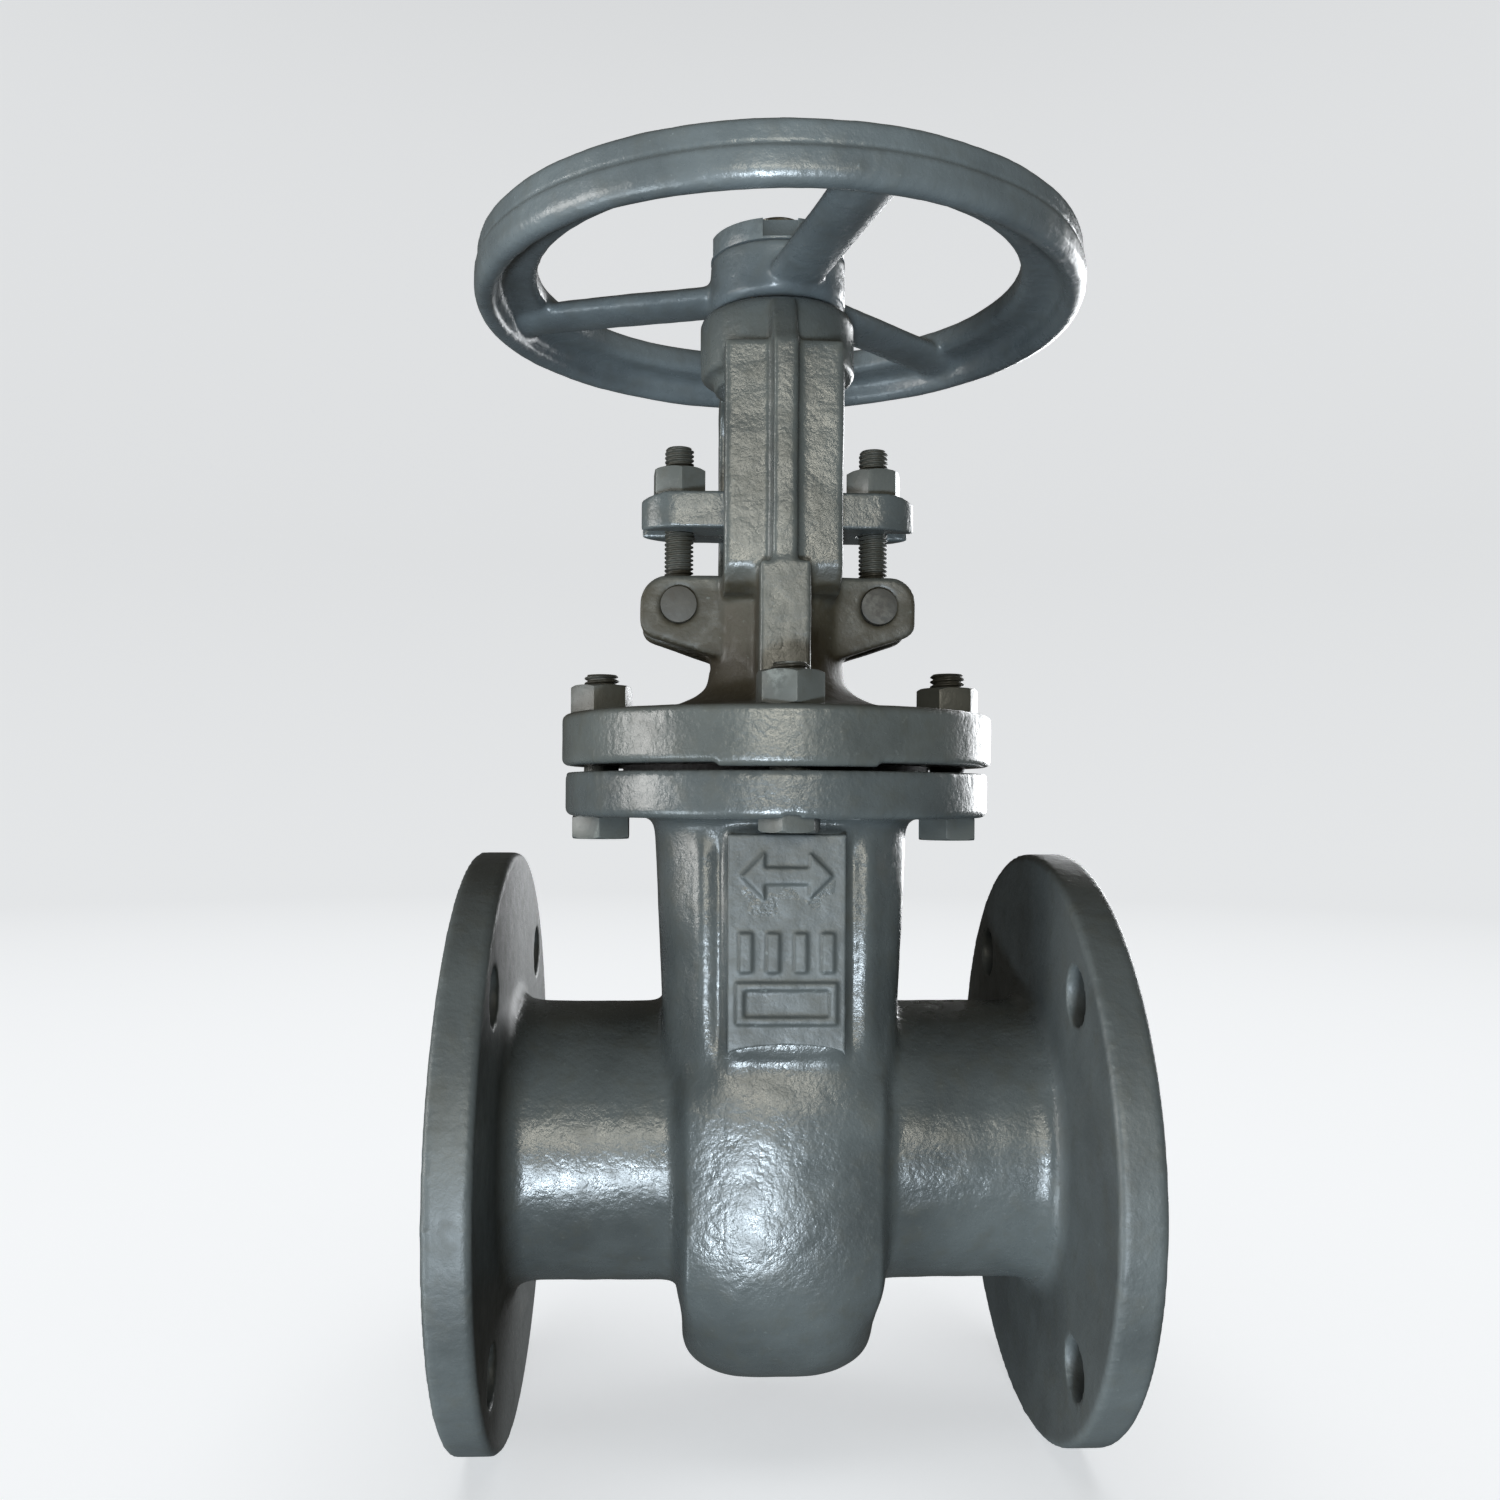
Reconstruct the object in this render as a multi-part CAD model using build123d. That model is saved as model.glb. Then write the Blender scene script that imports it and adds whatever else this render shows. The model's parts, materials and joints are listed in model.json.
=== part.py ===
from build123d import *
import math
import os

# Rising-stem flanged gate valve, shown shut. Millimetres.
# Frame: the origin is the centre of the inlet bolt circle, on the inlet flange. +X runs along
# the pipe towards the outlet and +Z along the stem. The shapes below are written about the
# point where the pipe axis meets the stem axis, and export() moves them into the frame.

# driving dimensions: pipe line
BORE_R = 40.0
STUB_R = 46.2
FLANGE_R = 97.5
FLANGE_INNER_X = 88.0
FLANGE_OUTER_X = 102.0
FACE_X = 105.0
FACE_R = 66.5
LINE_BOLT_CIRCLE_R = 80.0
LINE_BOLT_HOLE_R = 9.0
FLANGE_ROOT_FILLET = 7.0
STEM_AXIS_X = FLANGE_OUTER_X

# driving dimensions: body casting
NECK_HALF_X = 40.6
BELLY_HALF_X = 33.4
BELLY_TAPER_TOP_Z = 98.0
BELLY_TAPER_LOW_Z = -50.0
BELLY_R = 55.0
BELLY_Z = -23.0
BELLY_CORNER = 17.0
BELLY_BOTTOM_Z = -77.6
NECK_HALF_Y = 49.0
SECTION_CORNER = 23.0
CHAMBER_HALF_X = 25.0
CHAMBER_HALF_Y = 44.0
CHAMBER_LOW_Z = -20.0
CHAMBER_CORNER = 14.0
PAD_HALF_X = 18.2
PAD_Y = -52.4
PAD_LOW_Z = 38.0
PAD_HIGH_Z = 107.0
GUIDE_HALF_X = 3.3
GUIDE_Y = 41.5

# driving dimensions: bonnet joint
BODY_FLANGE_R = 72.0
BODY_FLANGE_LOW_Z = 110.5
BODY_FLANGE_TOP_Z = 125.0
BONNET_FLANGE_R = 73.2
BONNET_FLANGE_LOW_Z = 127.4
BONNET_FLANGE_TOP_Z = 144.5
GASKET_INNER_R = 45.5
GASKET_OUTER_R = 52.5
COVER_BOLT_CIRCLE_R = 60.0
COVER_BOLT_R = 6.0
COVER_BOLT_HOLE_R = 6.5
COVER_SPOT_FACE_R = 11.4
COVER_NUT_ACROSS_FLATS = 19.0
COVER_NUT_HEIGHT = 10.4

# the four bonnet bolts, counted round from the outlet side; the front one has a small head
COVER_BOLT_ENDS_Z = (160.0, 158.2, 158.7, 157.4)
COVER_HEAD_ACROSS_FLATS = (19.0, 19.0, 19.0, 17.0)
COVER_HEAD_HEIGHTS = (8.0, 8.0, 8.0, 6.0)
COVER_HEAD_SEATS_Z = (110.5, 110.5, 110.5, 112.5)
COVER_HEAD_TURNS = (18.0, 41.0, 30.0, 13.0)
COVER_NUT_TURNS = (4.5, 58.0, 19.5, 36.0)

# driving dimensions: bonnet neck, stuffing box and hinge ears
CAVITY_HALF_X = 24.0
CAVITY_HALF_Y = 30.0
CAVITY_TOP_Z = 138.5
NECK_R = 23.4
NECK_TOP_Z = 191.0
STUFFING_R = 15.5
STUFFING_LOW_Z = 150.0
BUSH_R = 14.0
PACKING_COUNT = 4
PACKING_LOW_Z = 153.0
PACKING_TOP_Z = 177.0
EYE_X = 33.7
EYE_Z = 181.3
EAR_END_X = 46.4
EAR_TOP_Z = 191.3
EAR_HALF_Y = 14.0
EAR_GAP_HALF_Y = 5.4
PIN_R = 6.0
PIN_HEAD_PROUD = 1.8
PIN_TAIL_PROUD = 5.0
SPLIT_PIN_R = 1.25
SPLIT_PIN_PROUD = 2.2
GRUB_SCREW_R = 2.0
GRUB_SCREW_ANGLE = 125.0

# driving dimensions: yoke
ARM_HALF_X = 19.2
ARM_OUTER_Y = 35.0
ARM_INNER_Y = 27.5
ARM_TOP_Z = 264.0
RIB_HALF_X = 4.0
RIB_Y = 41.0
GUSSET_HALF_X = 8.25
HEAD_R = 26.6
HEAD_LOW_Z = 261.0
HEAD_TOP_Z = 282.0
HEAD_BOSS_R = 22.0
HEAD_BOSS_LOW_Z = 257.0

# driving dimensions: gland
GLAND_LOW_Z = 207.5
GLAND_TOP_Z = 219.9
GLAND_LOBE_R = 14.3
GLAND_CENTRE_R = 19.5
GLAND_NUT_SEAT_Z = 220.0
GLAND_NUT_HEIGHT = 9.6
GLAND_NUT_ACROSS_FLATS = 17.0
GLAND_SLOT_HALF_Y = 5.6
EYE_ROD_R = 5.0
EYE_ROD_TOP_Z = 237.3
EYE_R = 10.4
EYE_HALF_Y = 5.0

# driving dimensions: stem, wedge and stem nut
STEM_R = 10.0
STEM_TOP_Z = 315.0
STROKE = 84.0
TEE_HALF_X = 11.3
TEE_HALF_Y = 11.0
TEE_LOW_Z = 36.8
TEE_TOP_Z = 43.2
TEE_NECK_R = 8.2
TEE_GAP = 0.4
COLLAR_R = 13.0
COLLAR_LOW_Z = 51.0
COLLAR_TOP_Z = CAVITY_TOP_Z - STROKE - 0.1
WEDGE_R = 43.2
WEDGE_HALF_X = 14.8
WEDGE_SLOPE = math.tan(math.radians(5.0))
WEDGE_BOSS_HALF = 17.0
WEDGE_TOP_Z = 50.0
SEAT_R = 43.5
SEAT_ROOT_X = 29.0
RUNNING_GAP = 0.05
NUT_JOURNAL_R = 15.0
NUT_FLANGE_R = 20.0
NUT_NECK_R = 16.0
NUT_SEAT_R = 14.0
NUT_THREAD_R = 12.5
THRUST_R = 20.6
THRUST_LOW_Z = 266.0
THRUST_TOP_Z = 277.0
WASHER_THICK = 2.0

# driving dimensions: handwheel
HUB_R = 23.2
HUB_LOW_Z = 283.9
HUB_TOP_Z = 301.5
LOCKNUT_TOP_Z = 308.3
RIM_R = 103.5
RIM_UPPER_R = 102.5
RIM_INNER_R = 82.5
RIM_SKIRT_R = 95.5
RIM_LOW_Z = 281.6
RIM_TOP_Z = 300.0
RIM_WEB_Z = 290.0
SPOKE_ANGLES = (-77.0, 43.0, 163.0)
SPOKE_Z = 291.0
SPOKE_HALF_WIDTH = 9.5
SPOKE_HALF_HEIGHT = 4.6


def block(x_low, x_high, y_low, y_high, z_low, z_high):
    """A box between stated faces."""
    centre = Pos((x_low + x_high) / 2, (y_low + y_high) / 2, (z_low + z_high) / 2)
    return centre * Box(x_high - x_low, y_high - y_low, z_high - z_low)


def rod_z(radius, low, high, x=0.0, y=0.0):
    """A cylinder along Z."""
    return Pos(x, y, (low + high) / 2) * Cylinder(radius, high - low)


def rod_x(radius, low, high):
    """A cylinder along the pipe axis."""
    return Pos((low + high) / 2, 0, 0) * Rot(0, 90, 0) * Cylinder(radius, high - low)


def rod_y(radius, low, high, x, z):
    """A cylinder along Y through (x, z)."""
    return Pos(x, (low + high) / 2, z) * Rot(90, 0, 0) * Cylinder(radius, high - low)


def ring_z(outer, inner, low, high):
    """A plain ring along the stem axis."""
    return rod_z(outer, low, high) - rod_z(inner, low - 1, high + 1)


def turned(points):
    """A solid turned about the stem axis from (radius, z) points."""
    profile = Plane.XZ * make_face(Polyline(*points, close=True))
    return revolve(profile, Axis.Z)


def hexagon(across_flats, low, high, turn, x=0.0, y=0.0):
    """A hexagonal prism with its corners chamfered at both ends by a turned cone."""
    flat = RegularPolygon(across_flats / 2, 6, major_radius=False)
    prism = extrude(flat, high - low)
    corner_r = across_flats / 2 / math.cos(math.radians(30))
    rise = (corner_r - across_flats / 2) * 0.6
    height = high - low
    outline = [
        (0, 0),
        (across_flats / 2, 0),
        (corner_r, rise),
        (corner_r, height - rise),
        (across_flats / 2, height),
        (0, height),
    ]
    return Pos(x, y, low) * Rot(0, 0, turn) * (prism & turned(outline))


def side_plate(points, half_x):
    """A plate of constant thickness across X, from (y, z) points."""
    profile = Plane.YZ * make_face(Polyline(*points, close=True))
    return extrude(profile, half_x, both=True)


def mirrored_y(shape):
    """The shape and its mirror image on the other side of the pipe axis."""
    return shape + mirror(shape, Plane.XZ)


def cover_bolt_places():
    """Number and place of each bonnet bolt."""
    for index in range(len(COVER_BOLT_ENDS_Z)):
        angle = math.radians(90.0 * index)
        x = COVER_BOLT_CIRCLE_R * math.cos(angle)
        y = COVER_BOLT_CIRCLE_R * math.sin(angle)
        yield index, x, y


def export(shape, node):
    """Move a finished sub-part into the valve's frame and write it."""
    export_step(Pos(STEM_AXIS_X, 0, 0) * shape, f"parts/{node}.step")


# ---------------------------------------------------------------- body


def body_half_x(z):
    """Half width of the casting across the pipe direction at height z."""
    slope = (NECK_HALF_X - BELLY_HALF_X) / (BELLY_TAPER_TOP_Z - BELLY_TAPER_LOW_Z)
    width = BELLY_HALF_X + max(0.0, z - BELLY_TAPER_LOW_Z) * slope
    corner_z = BELLY_BOTTOM_Z + BELLY_CORNER
    if z >= corner_z:
        return width
    drop = corner_z - z
    return width - BELLY_CORNER + math.sqrt(max(BELLY_CORNER**2 - drop**2, 12.0))


def body_half_y(z):
    """Half depth of the casting at height z: a round belly under a straight neck."""
    if z <= BELLY_Z:
        return math.sqrt(BELLY_R**2 - (z - BELLY_Z) ** 2)
    blend_low = 8.0
    blend_high = 48.0
    share = min(max((z - blend_low) / (blend_high - blend_low), 0.0), 1.0)
    smooth = share * share * (3 - 2 * share)
    return BELLY_R - (BELLY_R - NECK_HALF_Y) * smooth


def body_section(z):
    """Rounded rectangular section of the casting at height z."""
    half_x = body_half_x(z)
    half_y = body_half_y(z)
    corner = min(SECTION_CORNER, 0.82 * half_x, 0.82 * half_y)
    return Pos(0, 0, z) * RectangleRounded(2 * half_x, 2 * half_y, corner)


def body_shell():
    """Outside of the belly and neck, lofted from its lowest point up into the flange."""
    heights = (BELLY_BOTTOM_Z, -76, -72, -66, -58, -48, -36, -23, -5, 14, 30, 45, 60, 85, 112)
    return loft([body_section(z) for z in heights])


def line_flange():
    """One stub and its round flange with a raised face, on the outlet side."""
    arm = rod_x(STUB_R, 20, FLANGE_INNER_X) + rod_x(FLANGE_R, FLANGE_INNER_X, FLANGE_OUTER_X)
    circles = arm.edges().filter_by(GeomType.CIRCLE)
    root = [e for e in circles if abs(e.radius - STUB_R) < 0.01 and e.center().X > FLANGE_INNER_X - 1]
    arm = fillet(root, FLANGE_ROOT_FILLET)
    circles = arm.edges().filter_by(GeomType.CIRCLE)
    arm = chamfer([e for e in circles if abs(e.radius - FLANGE_R) < 0.01], 1.2)
    arm += rod_x(FACE_R, FLANGE_OUTER_X - 1, FACE_X)
    for angle in (45, 135, 225, 315):
        hole = Pos(0, 0, LINE_BOLT_CIRCLE_R) * rod_x(LINE_BOLT_HOLE_R, 80, 110)
        arm -= Rot(angle, 0, 0) * hole
    return arm


def chamber():
    """The space that the wedge sits in and rises through."""
    plan = RectangleRounded(2 * CHAMBER_HALF_X, 2 * CHAMBER_HALF_Y, CHAMBER_CORNER)
    shaft = extrude(Pos(0, 0, CHAMBER_LOW_Z) * plan, BODY_FLANGE_TOP_Z - CHAMBER_LOW_Z + 1)
    sump = Pos(0, 0, CHAMBER_LOW_Z) * rod_x(CHAMBER_HALF_Y - 0.5, -CHAMBER_HALF_X, CHAMBER_HALF_X)
    sump = sump & block(-30, 30, -60, 60, -80, CHAMBER_LOW_Z + CHAMBER_CORNER)
    return shaft + sump


def make_body():
    """Body casting: belly, neck, rating pad, cover flange and two line flanges."""
    outlet = line_flange()
    casting = body_shell() + outlet + mirror(outlet, Plane.YZ)
    casting += rod_z(BODY_FLANGE_R, BODY_FLANGE_LOW_Z, BODY_FLANGE_TOP_Z)
    casting += block(-PAD_HALF_X, PAD_HALF_X, PAD_Y, -40, PAD_LOW_Z, PAD_HIGH_Z)
    casting -= chamber()
    casting -= rod_x(BORE_R, -FACE_X - 1, FACE_X + 1)
    casting -= rod_x(SEAT_R, -SEAT_ROOT_X, SEAT_ROOT_X)
    guide = block(-GUIDE_HALF_X, GUIDE_HALF_X, GUIDE_Y, CHAMBER_HALF_Y + 1, -12, BODY_FLANGE_TOP_Z - 1)
    casting += mirrored_y(guide)
    for index, x, y in cover_bolt_places():
        seat_z = COVER_HEAD_SEATS_Z[index]
        low = seat_z - COVER_HEAD_HEIGHTS[index] - 0.3
        casting -= rod_z(COVER_BOLT_HOLE_R, low, BODY_FLANGE_TOP_Z + 1, x, y)
        casting -= rod_z(COVER_SPOT_FACE_R, low, seat_z, x, y)
    return casting


def wedge_envelope(gap):
    """Everything between the two sloping sealing planes, widened by a gap."""
    reach = 60.0
    low = WEDGE_HALF_X - reach * WEDGE_SLOPE + gap
    high = WEDGE_HALF_X + reach * WEDGE_SLOPE + gap
    outline = [(-low, -reach), (low, -reach), (high, reach), (-high, reach)]
    profile = Plane.XZ * make_face(Polyline(*outline, close=True))
    return extrude(profile, reach, both=True)


def make_seat_ring():
    """Outlet seat ring with a sloping face, pressed into the body."""
    ring = rod_x(SEAT_R, 6, SEAT_ROOT_X) - rod_x(BORE_R, 5, SEAT_ROOT_X + 1)
    return ring - wedge_envelope(0.1)


# ---------------------------------------------------------------- bonnet and yoke


def hinge_ears():
    """A pair of ears on the right of the neck, either side of the eye of its swing bolt."""
    outline = [
        (13, EAR_TOP_Z),
        (EAR_END_X, EAR_TOP_Z),
        (EAR_END_X, 172.3),
        (NECK_R - 3, 163.6),
        (13, 163.0),
    ]
    face = Plane.XZ * make_face(Polyline(*outline, close=True))
    corners = face.vertices().sort_by(Axis.X)[-2:].sort_by(Axis.Z)
    face = fillet(corners[1], 9.0)
    corners = face.vertices().sort_by(Axis.X)[-2:].sort_by(Axis.Z)
    face = fillet(corners[0], 5.0)
    ears = extrude(face, EAR_HALF_Y, both=True)
    return ears - rod_y(PIN_R, -20, 20, EYE_X, EYE_Z)


def eye_slot():
    """The slot between the right ears, milled a little into the neck."""
    return block(NECK_R - 0.7, EAR_END_X + 1, -EAR_GAP_HALF_Y, EAR_GAP_HALF_Y, 160, 200)


def yoke_arm():
    """Front arm: a flat plate, a rib up its outside and a gusset down to the flange."""
    plate = [
        (-12, 183.5),
        (-26, 183.5),
        (-31.5, 185.8),
        (-ARM_OUTER_Y, 191.5),
        (-ARM_OUTER_Y, ARM_TOP_Z),
        (-18, ARM_TOP_Z),
        (-18, 259),
        (-ARM_INNER_Y + 3, 256),
        (-ARM_INNER_Y, 250),
        (-ARM_INNER_Y, 203),
        (-22, 191.5),
        (-12, NECK_TOP_Z),
    ]
    rib = [
        (-30, 188),
        (-RIB_Y, 188),
        (-RIB_Y, 262),
        (-HEAD_R - 1.5, HEAD_TOP_Z - 2),
        (-20, HEAD_TOP_Z - 2),
        (-20, 262),
        (-30, 255),
    ]
    gusset = [
        (-16, BONNET_FLANGE_TOP_Z - 2),
        (-RIB_Y - 0.5, BONNET_FLANGE_TOP_Z - 2),
        (-RIB_Y - 0.5, 192),
        (-16, 186),
    ]
    arm = side_plate(plate, ARM_HALF_X) + side_plate(rib, RIB_HALF_X)
    return arm + side_plate(gusset, GUSSET_HALF_X)


def make_bonnet():
    """Bonnet casting: flange, stuffing box neck, hinge ears, two yoke arms and yoke head."""
    dome = [
        (0, BONNET_FLANGE_LOW_Z),
        (BONNET_FLANGE_R, BONNET_FLANGE_LOW_Z),
        (BONNET_FLANGE_R, BONNET_FLANGE_TOP_Z - 1.2),
        (BONNET_FLANGE_R - 1.2, BONNET_FLANGE_TOP_Z),
        (48.5, BONNET_FLANGE_TOP_Z),
        (46, 146.2),
        (34, 148.6),
        (28, 151.5),
        (NECK_R + 1, 154.5),
        (NECK_R, 158.5),
        (NECK_R, NECK_TOP_Z),
        (0, NECK_TOP_Z),
    ]
    head = [
        (0, HEAD_BOSS_LOW_Z),
        (HEAD_BOSS_R, HEAD_BOSS_LOW_Z),
        (HEAD_BOSS_R, HEAD_LOW_Z),
        (HEAD_R - 1, HEAD_LOW_Z),
        (HEAD_R, HEAD_LOW_Z + 1),
        (HEAD_R, HEAD_TOP_Z - 3),
        (HEAD_R - 0.9, HEAD_TOP_Z - 0.9),
        (HEAD_R - 3, HEAD_TOP_Z),
        (0, HEAD_TOP_Z),
    ]
    ears = hinge_ears()
    casting = turned(dome) + turned(head) + mirrored_y(yoke_arm())
    casting += ears + mirror(ears, Plane.YZ)
    casting -= eye_slot()
    casting -= mirror(eye_slot(), Plane.YZ)
    plan = RectangleRounded(2 * CAVITY_HALF_X, 2 * CAVITY_HALF_Y, CHAMBER_CORNER)
    lift_room = Pos(0, 0, BONNET_FLANGE_LOW_Z - 1) * plan
    casting -= extrude(lift_room, CAVITY_TOP_Z - BONNET_FLANGE_LOW_Z + 1)
    casting -= rod_z(BUSH_R, CAVITY_TOP_Z - 1, STUFFING_LOW_Z + 1)
    casting -= rod_z(STUFFING_R, STUFFING_LOW_Z, NECK_TOP_Z + 1)
    casting -= rod_z(NUT_JOURNAL_R + RUNNING_GAP, HEAD_BOSS_LOW_Z - 1, THRUST_LOW_Z + 1)
    casting -= rod_z(THRUST_R, THRUST_LOW_Z, HEAD_TOP_Z + 1)
    casting -= retainer_screw_hole()
    for _, x, y in cover_bolt_places():
        casting -= rod_z(COVER_BOLT_HOLE_R, BONNET_FLANGE_LOW_Z - 1, 150, x, y)
    return casting


def retainer_screw_hole():
    """The round hole that the locking grub screw fills, half in the head, half in the ring."""
    angle = math.radians(GRUB_SCREW_ANGLE)
    x = THRUST_R * math.cos(angle)
    y = THRUST_R * math.sin(angle)
    return rod_z(GRUB_SCREW_R, THRUST_TOP_Z + 0.4, HEAD_TOP_Z, x, y)


def make_retainer():
    """Ring screwed into the yoke head that keeps the stem nut down."""
    ring = ring_z(THRUST_R, NUT_NECK_R + RUNNING_GAP, THRUST_TOP_Z, HEAD_TOP_Z)
    return ring - retainer_screw_hole()


# ---------------------------------------------------------------- fasteners


def make_bonnet_bolts():
    """Four hexagon-head bolts, put in from below."""
    bolts = []
    for index, x, y in cover_bolt_places():
        end_z = COVER_BOLT_ENDS_Z[index]
        seat_z = COVER_HEAD_SEATS_Z[index]
        low = seat_z - COVER_HEAD_HEIGHTS[index]
        head = hexagon(COVER_HEAD_ACROSS_FLATS[index], low, seat_z, COVER_HEAD_TURNS[index], x, y)
        shank = rod_z(COVER_BOLT_R, seat_z - 1, end_z - 1.2, x, y)
        tip = Pos(x, y, end_z - 0.6) * Cone(COVER_BOLT_R, COVER_BOLT_R - 1.2, 1.2)
        bolts.append(head + shank + tip)
    return Compound([bolt.solid() for bolt in bolts])


def make_bonnet_nuts():
    """Four hexagon nuts on top of the bonnet flange."""
    nuts = []
    top = BONNET_FLANGE_TOP_Z + COVER_NUT_HEIGHT
    for index, x, y in cover_bolt_places():
        turn = COVER_NUT_TURNS[index]
        nut = hexagon(COVER_NUT_ACROSS_FLATS, BONNET_FLANGE_TOP_Z, top, turn, x, y)
        nuts.append(nut - rod_z(COVER_BOLT_R, BONNET_FLANGE_TOP_Z - 1, top + 1, x, y))
    return Compound([nut.solid() for nut in nuts])


def make_hinge_pin():
    """Right hinge pin, proud of both ears, cross-drilled at the back."""
    head_y = -EAR_HALF_Y - PIN_HEAD_PROUD
    pin = rod_y(PIN_R, head_y, EAR_HALF_Y + PIN_TAIL_PROUD, EYE_X, EYE_Z)
    return pin - rod_z(SPLIT_PIN_R, EYE_Z - 7, EYE_Z + 7, EYE_X, EAR_HALF_Y + SPLIT_PIN_PROUD)


def make_split_pin():
    """Right split pin: a round loop on a straight leg."""
    y = EAR_HALF_Y + SPLIT_PIN_PROUD
    leg = rod_z(SPLIT_PIN_R, EYE_Z - 9, EYE_Z + 7, EYE_X, y)
    loop = Pos(EYE_X, y, EYE_Z + 9.2) * Rot(90, 0, 0) * Torus(2.5, 1.0)
    return leg + loop


def make_eye_bolt():
    """Right swing bolt: a flat round eye and a rod that stands through the gland flange."""
    eye = rod_y(EYE_R, -EYE_HALF_Y, EYE_HALF_Y, EYE_X, EYE_Z)
    rod = rod_z(EYE_ROD_R, EYE_Z, EYE_ROD_TOP_Z - 1, EYE_X, 0)
    tip = Pos(EYE_X, 0, EYE_ROD_TOP_Z - 0.5) * Cone(EYE_ROD_R, EYE_ROD_R - 1, 1)
    return eye + rod + tip - rod_y(PIN_R + RUNNING_GAP, -9, 9, EYE_X, EYE_Z)


def make_gland_nut(turn):
    """Right gland nut."""
    top = GLAND_NUT_SEAT_Z + GLAND_NUT_HEIGHT
    nut = hexagon(GLAND_NUT_ACROSS_FLATS, GLAND_NUT_SEAT_Z, top, turn, EYE_X, 0)
    return nut - rod_z(EYE_ROD_R, GLAND_NUT_SEAT_Z - 1, top + 1, EYE_X, 0)


# ---------------------------------------------------------------- gland and packing


def make_gland_flange():
    """Two-lobed flange, slotted outwards so that the swing bolts can leave it."""
    plan = SlotOverall(2 * (EYE_X + GLAND_LOBE_R), 2 * GLAND_LOBE_R) + Circle(GLAND_CENTRE_R)
    flange = extrude(Pos(0, 0, GLAND_LOW_Z) * plan, GLAND_TOP_Z - GLAND_LOW_Z)
    crown_r = GLAND_TOP_Z - EYE_Z
    reach = EYE_X + GLAND_LOBE_R + 2
    slot = block(EYE_X, reach, -GLAND_SLOT_HALF_Y, GLAND_SLOT_HALF_Y, 200, 230)
    slot += rod_z(GLAND_SLOT_HALF_Y, 200, 230, EYE_X, 0)
    crown = block(EYE_X, reach, -20, 20, 205, 230) - rod_y(crown_r, -21, 21, EYE_X, EYE_Z)
    flange -= slot
    flange -= crown
    flange -= mirror(slot, Plane.YZ)
    flange -= mirror(crown, Plane.YZ)
    return flange - rod_z(STEM_R + 0.6, 200, 230)


def make_gland_follower():
    """Bush that the gland flange presses down on the packing."""
    sleeve = rod_z(STUFFING_R - 0.2, PACKING_TOP_Z, 200) + rod_z(17.5, 199, GLAND_LOW_Z)
    return sleeve - rod_z(STEM_R + 0.4, 170, 210)


def packing_ring(index):
    """One square ring of stem packing."""
    height = (PACKING_TOP_Z - PACKING_LOW_Z) / PACKING_COUNT
    low = PACKING_LOW_Z + index * height
    return ring_z(STUFFING_R, STEM_R + 0.1, low, low + height)


# ---------------------------------------------------------------- stem, wedge and stem nut


def make_stem():
    """Rising stem with a tee head for the wedge and a back-seat collar."""
    head = block(-TEE_HALF_X, TEE_HALF_X, -TEE_HALF_Y, TEE_HALF_Y, TEE_LOW_Z, TEE_TOP_Z)
    rod = [
        (0, TEE_TOP_Z - 1),
        (TEE_NECK_R, TEE_TOP_Z - 1),
        (TEE_NECK_R, COLLAR_LOW_Z),
        (COLLAR_R, COLLAR_LOW_Z),
        (COLLAR_R, COLLAR_TOP_Z),
        (STEM_R, COLLAR_TOP_Z),
        (STEM_R, STEM_TOP_Z - 1.6),
        (STEM_R - 1.6, STEM_TOP_Z),
        (0, STEM_TOP_Z),
    ]
    return head + turned(rod)


def make_wedge():
    """Tapered gate disc with guide grooves, recessed faces and a tee slot across its top."""
    gate = rod_x(WEDGE_R, -22, 22)
    gate += block(-22, 22, -WEDGE_BOSS_HALF, WEDGE_BOSS_HALF, 30, WEDGE_TOP_Z)
    gate = gate & wedge_envelope(0.0)
    gate -= rod_x(35.0, 15.5, 30) + rod_x(35.0, -30, -15.5)
    gate -= mirrored_y(block(-3.7, 3.7, GUIDE_Y - 0.3, 50, -50, 60))
    slot_x = TEE_HALF_X + TEE_GAP
    gate -= block(-slot_x, slot_x, -50, 50, TEE_LOW_Z - TEE_GAP, TEE_TOP_Z + TEE_GAP)
    mouth_x = TEE_NECK_R + 0.6
    return gate - block(-mouth_x, mouth_x, -50, 50, TEE_TOP_Z, WEDGE_TOP_Z + 1)


def key_bar():
    """Square bar that fills the keyway between stem nut and handwheel."""
    return block(-2.5, 2.5, NUT_SEAT_R - 1.8, NUT_SEAT_R + 2.2, HUB_LOW_Z + 1, HUB_TOP_Z - 1)


def make_stem_nut():
    """Stem nut turned by the handwheel: journal, thrust flange, wheel seat and top thread."""
    low = THRUST_LOW_Z + WASHER_THICK + RUNNING_GAP
    high = THRUST_TOP_Z - WASHER_THICK - RUNNING_GAP
    outline = [
        (STEM_R + RUNNING_GAP, HEAD_BOSS_LOW_Z + 0.5),
        (NUT_JOURNAL_R, HEAD_BOSS_LOW_Z + 0.5),
        (NUT_JOURNAL_R, low),
        (NUT_FLANGE_R, low),
        (NUT_FLANGE_R, high),
        (NUT_NECK_R, high),
        (NUT_NECK_R, HUB_LOW_Z),
        (NUT_SEAT_R, HUB_LOW_Z),
        (NUT_SEAT_R, HUB_TOP_Z),
        (NUT_THREAD_R, HUB_TOP_Z),
        (NUT_THREAD_R, LOCKNUT_TOP_Z),
        (STEM_R + RUNNING_GAP, LOCKNUT_TOP_Z),
    ]
    return turned(outline) - key_bar()


# ---------------------------------------------------------------- handwheel


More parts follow.
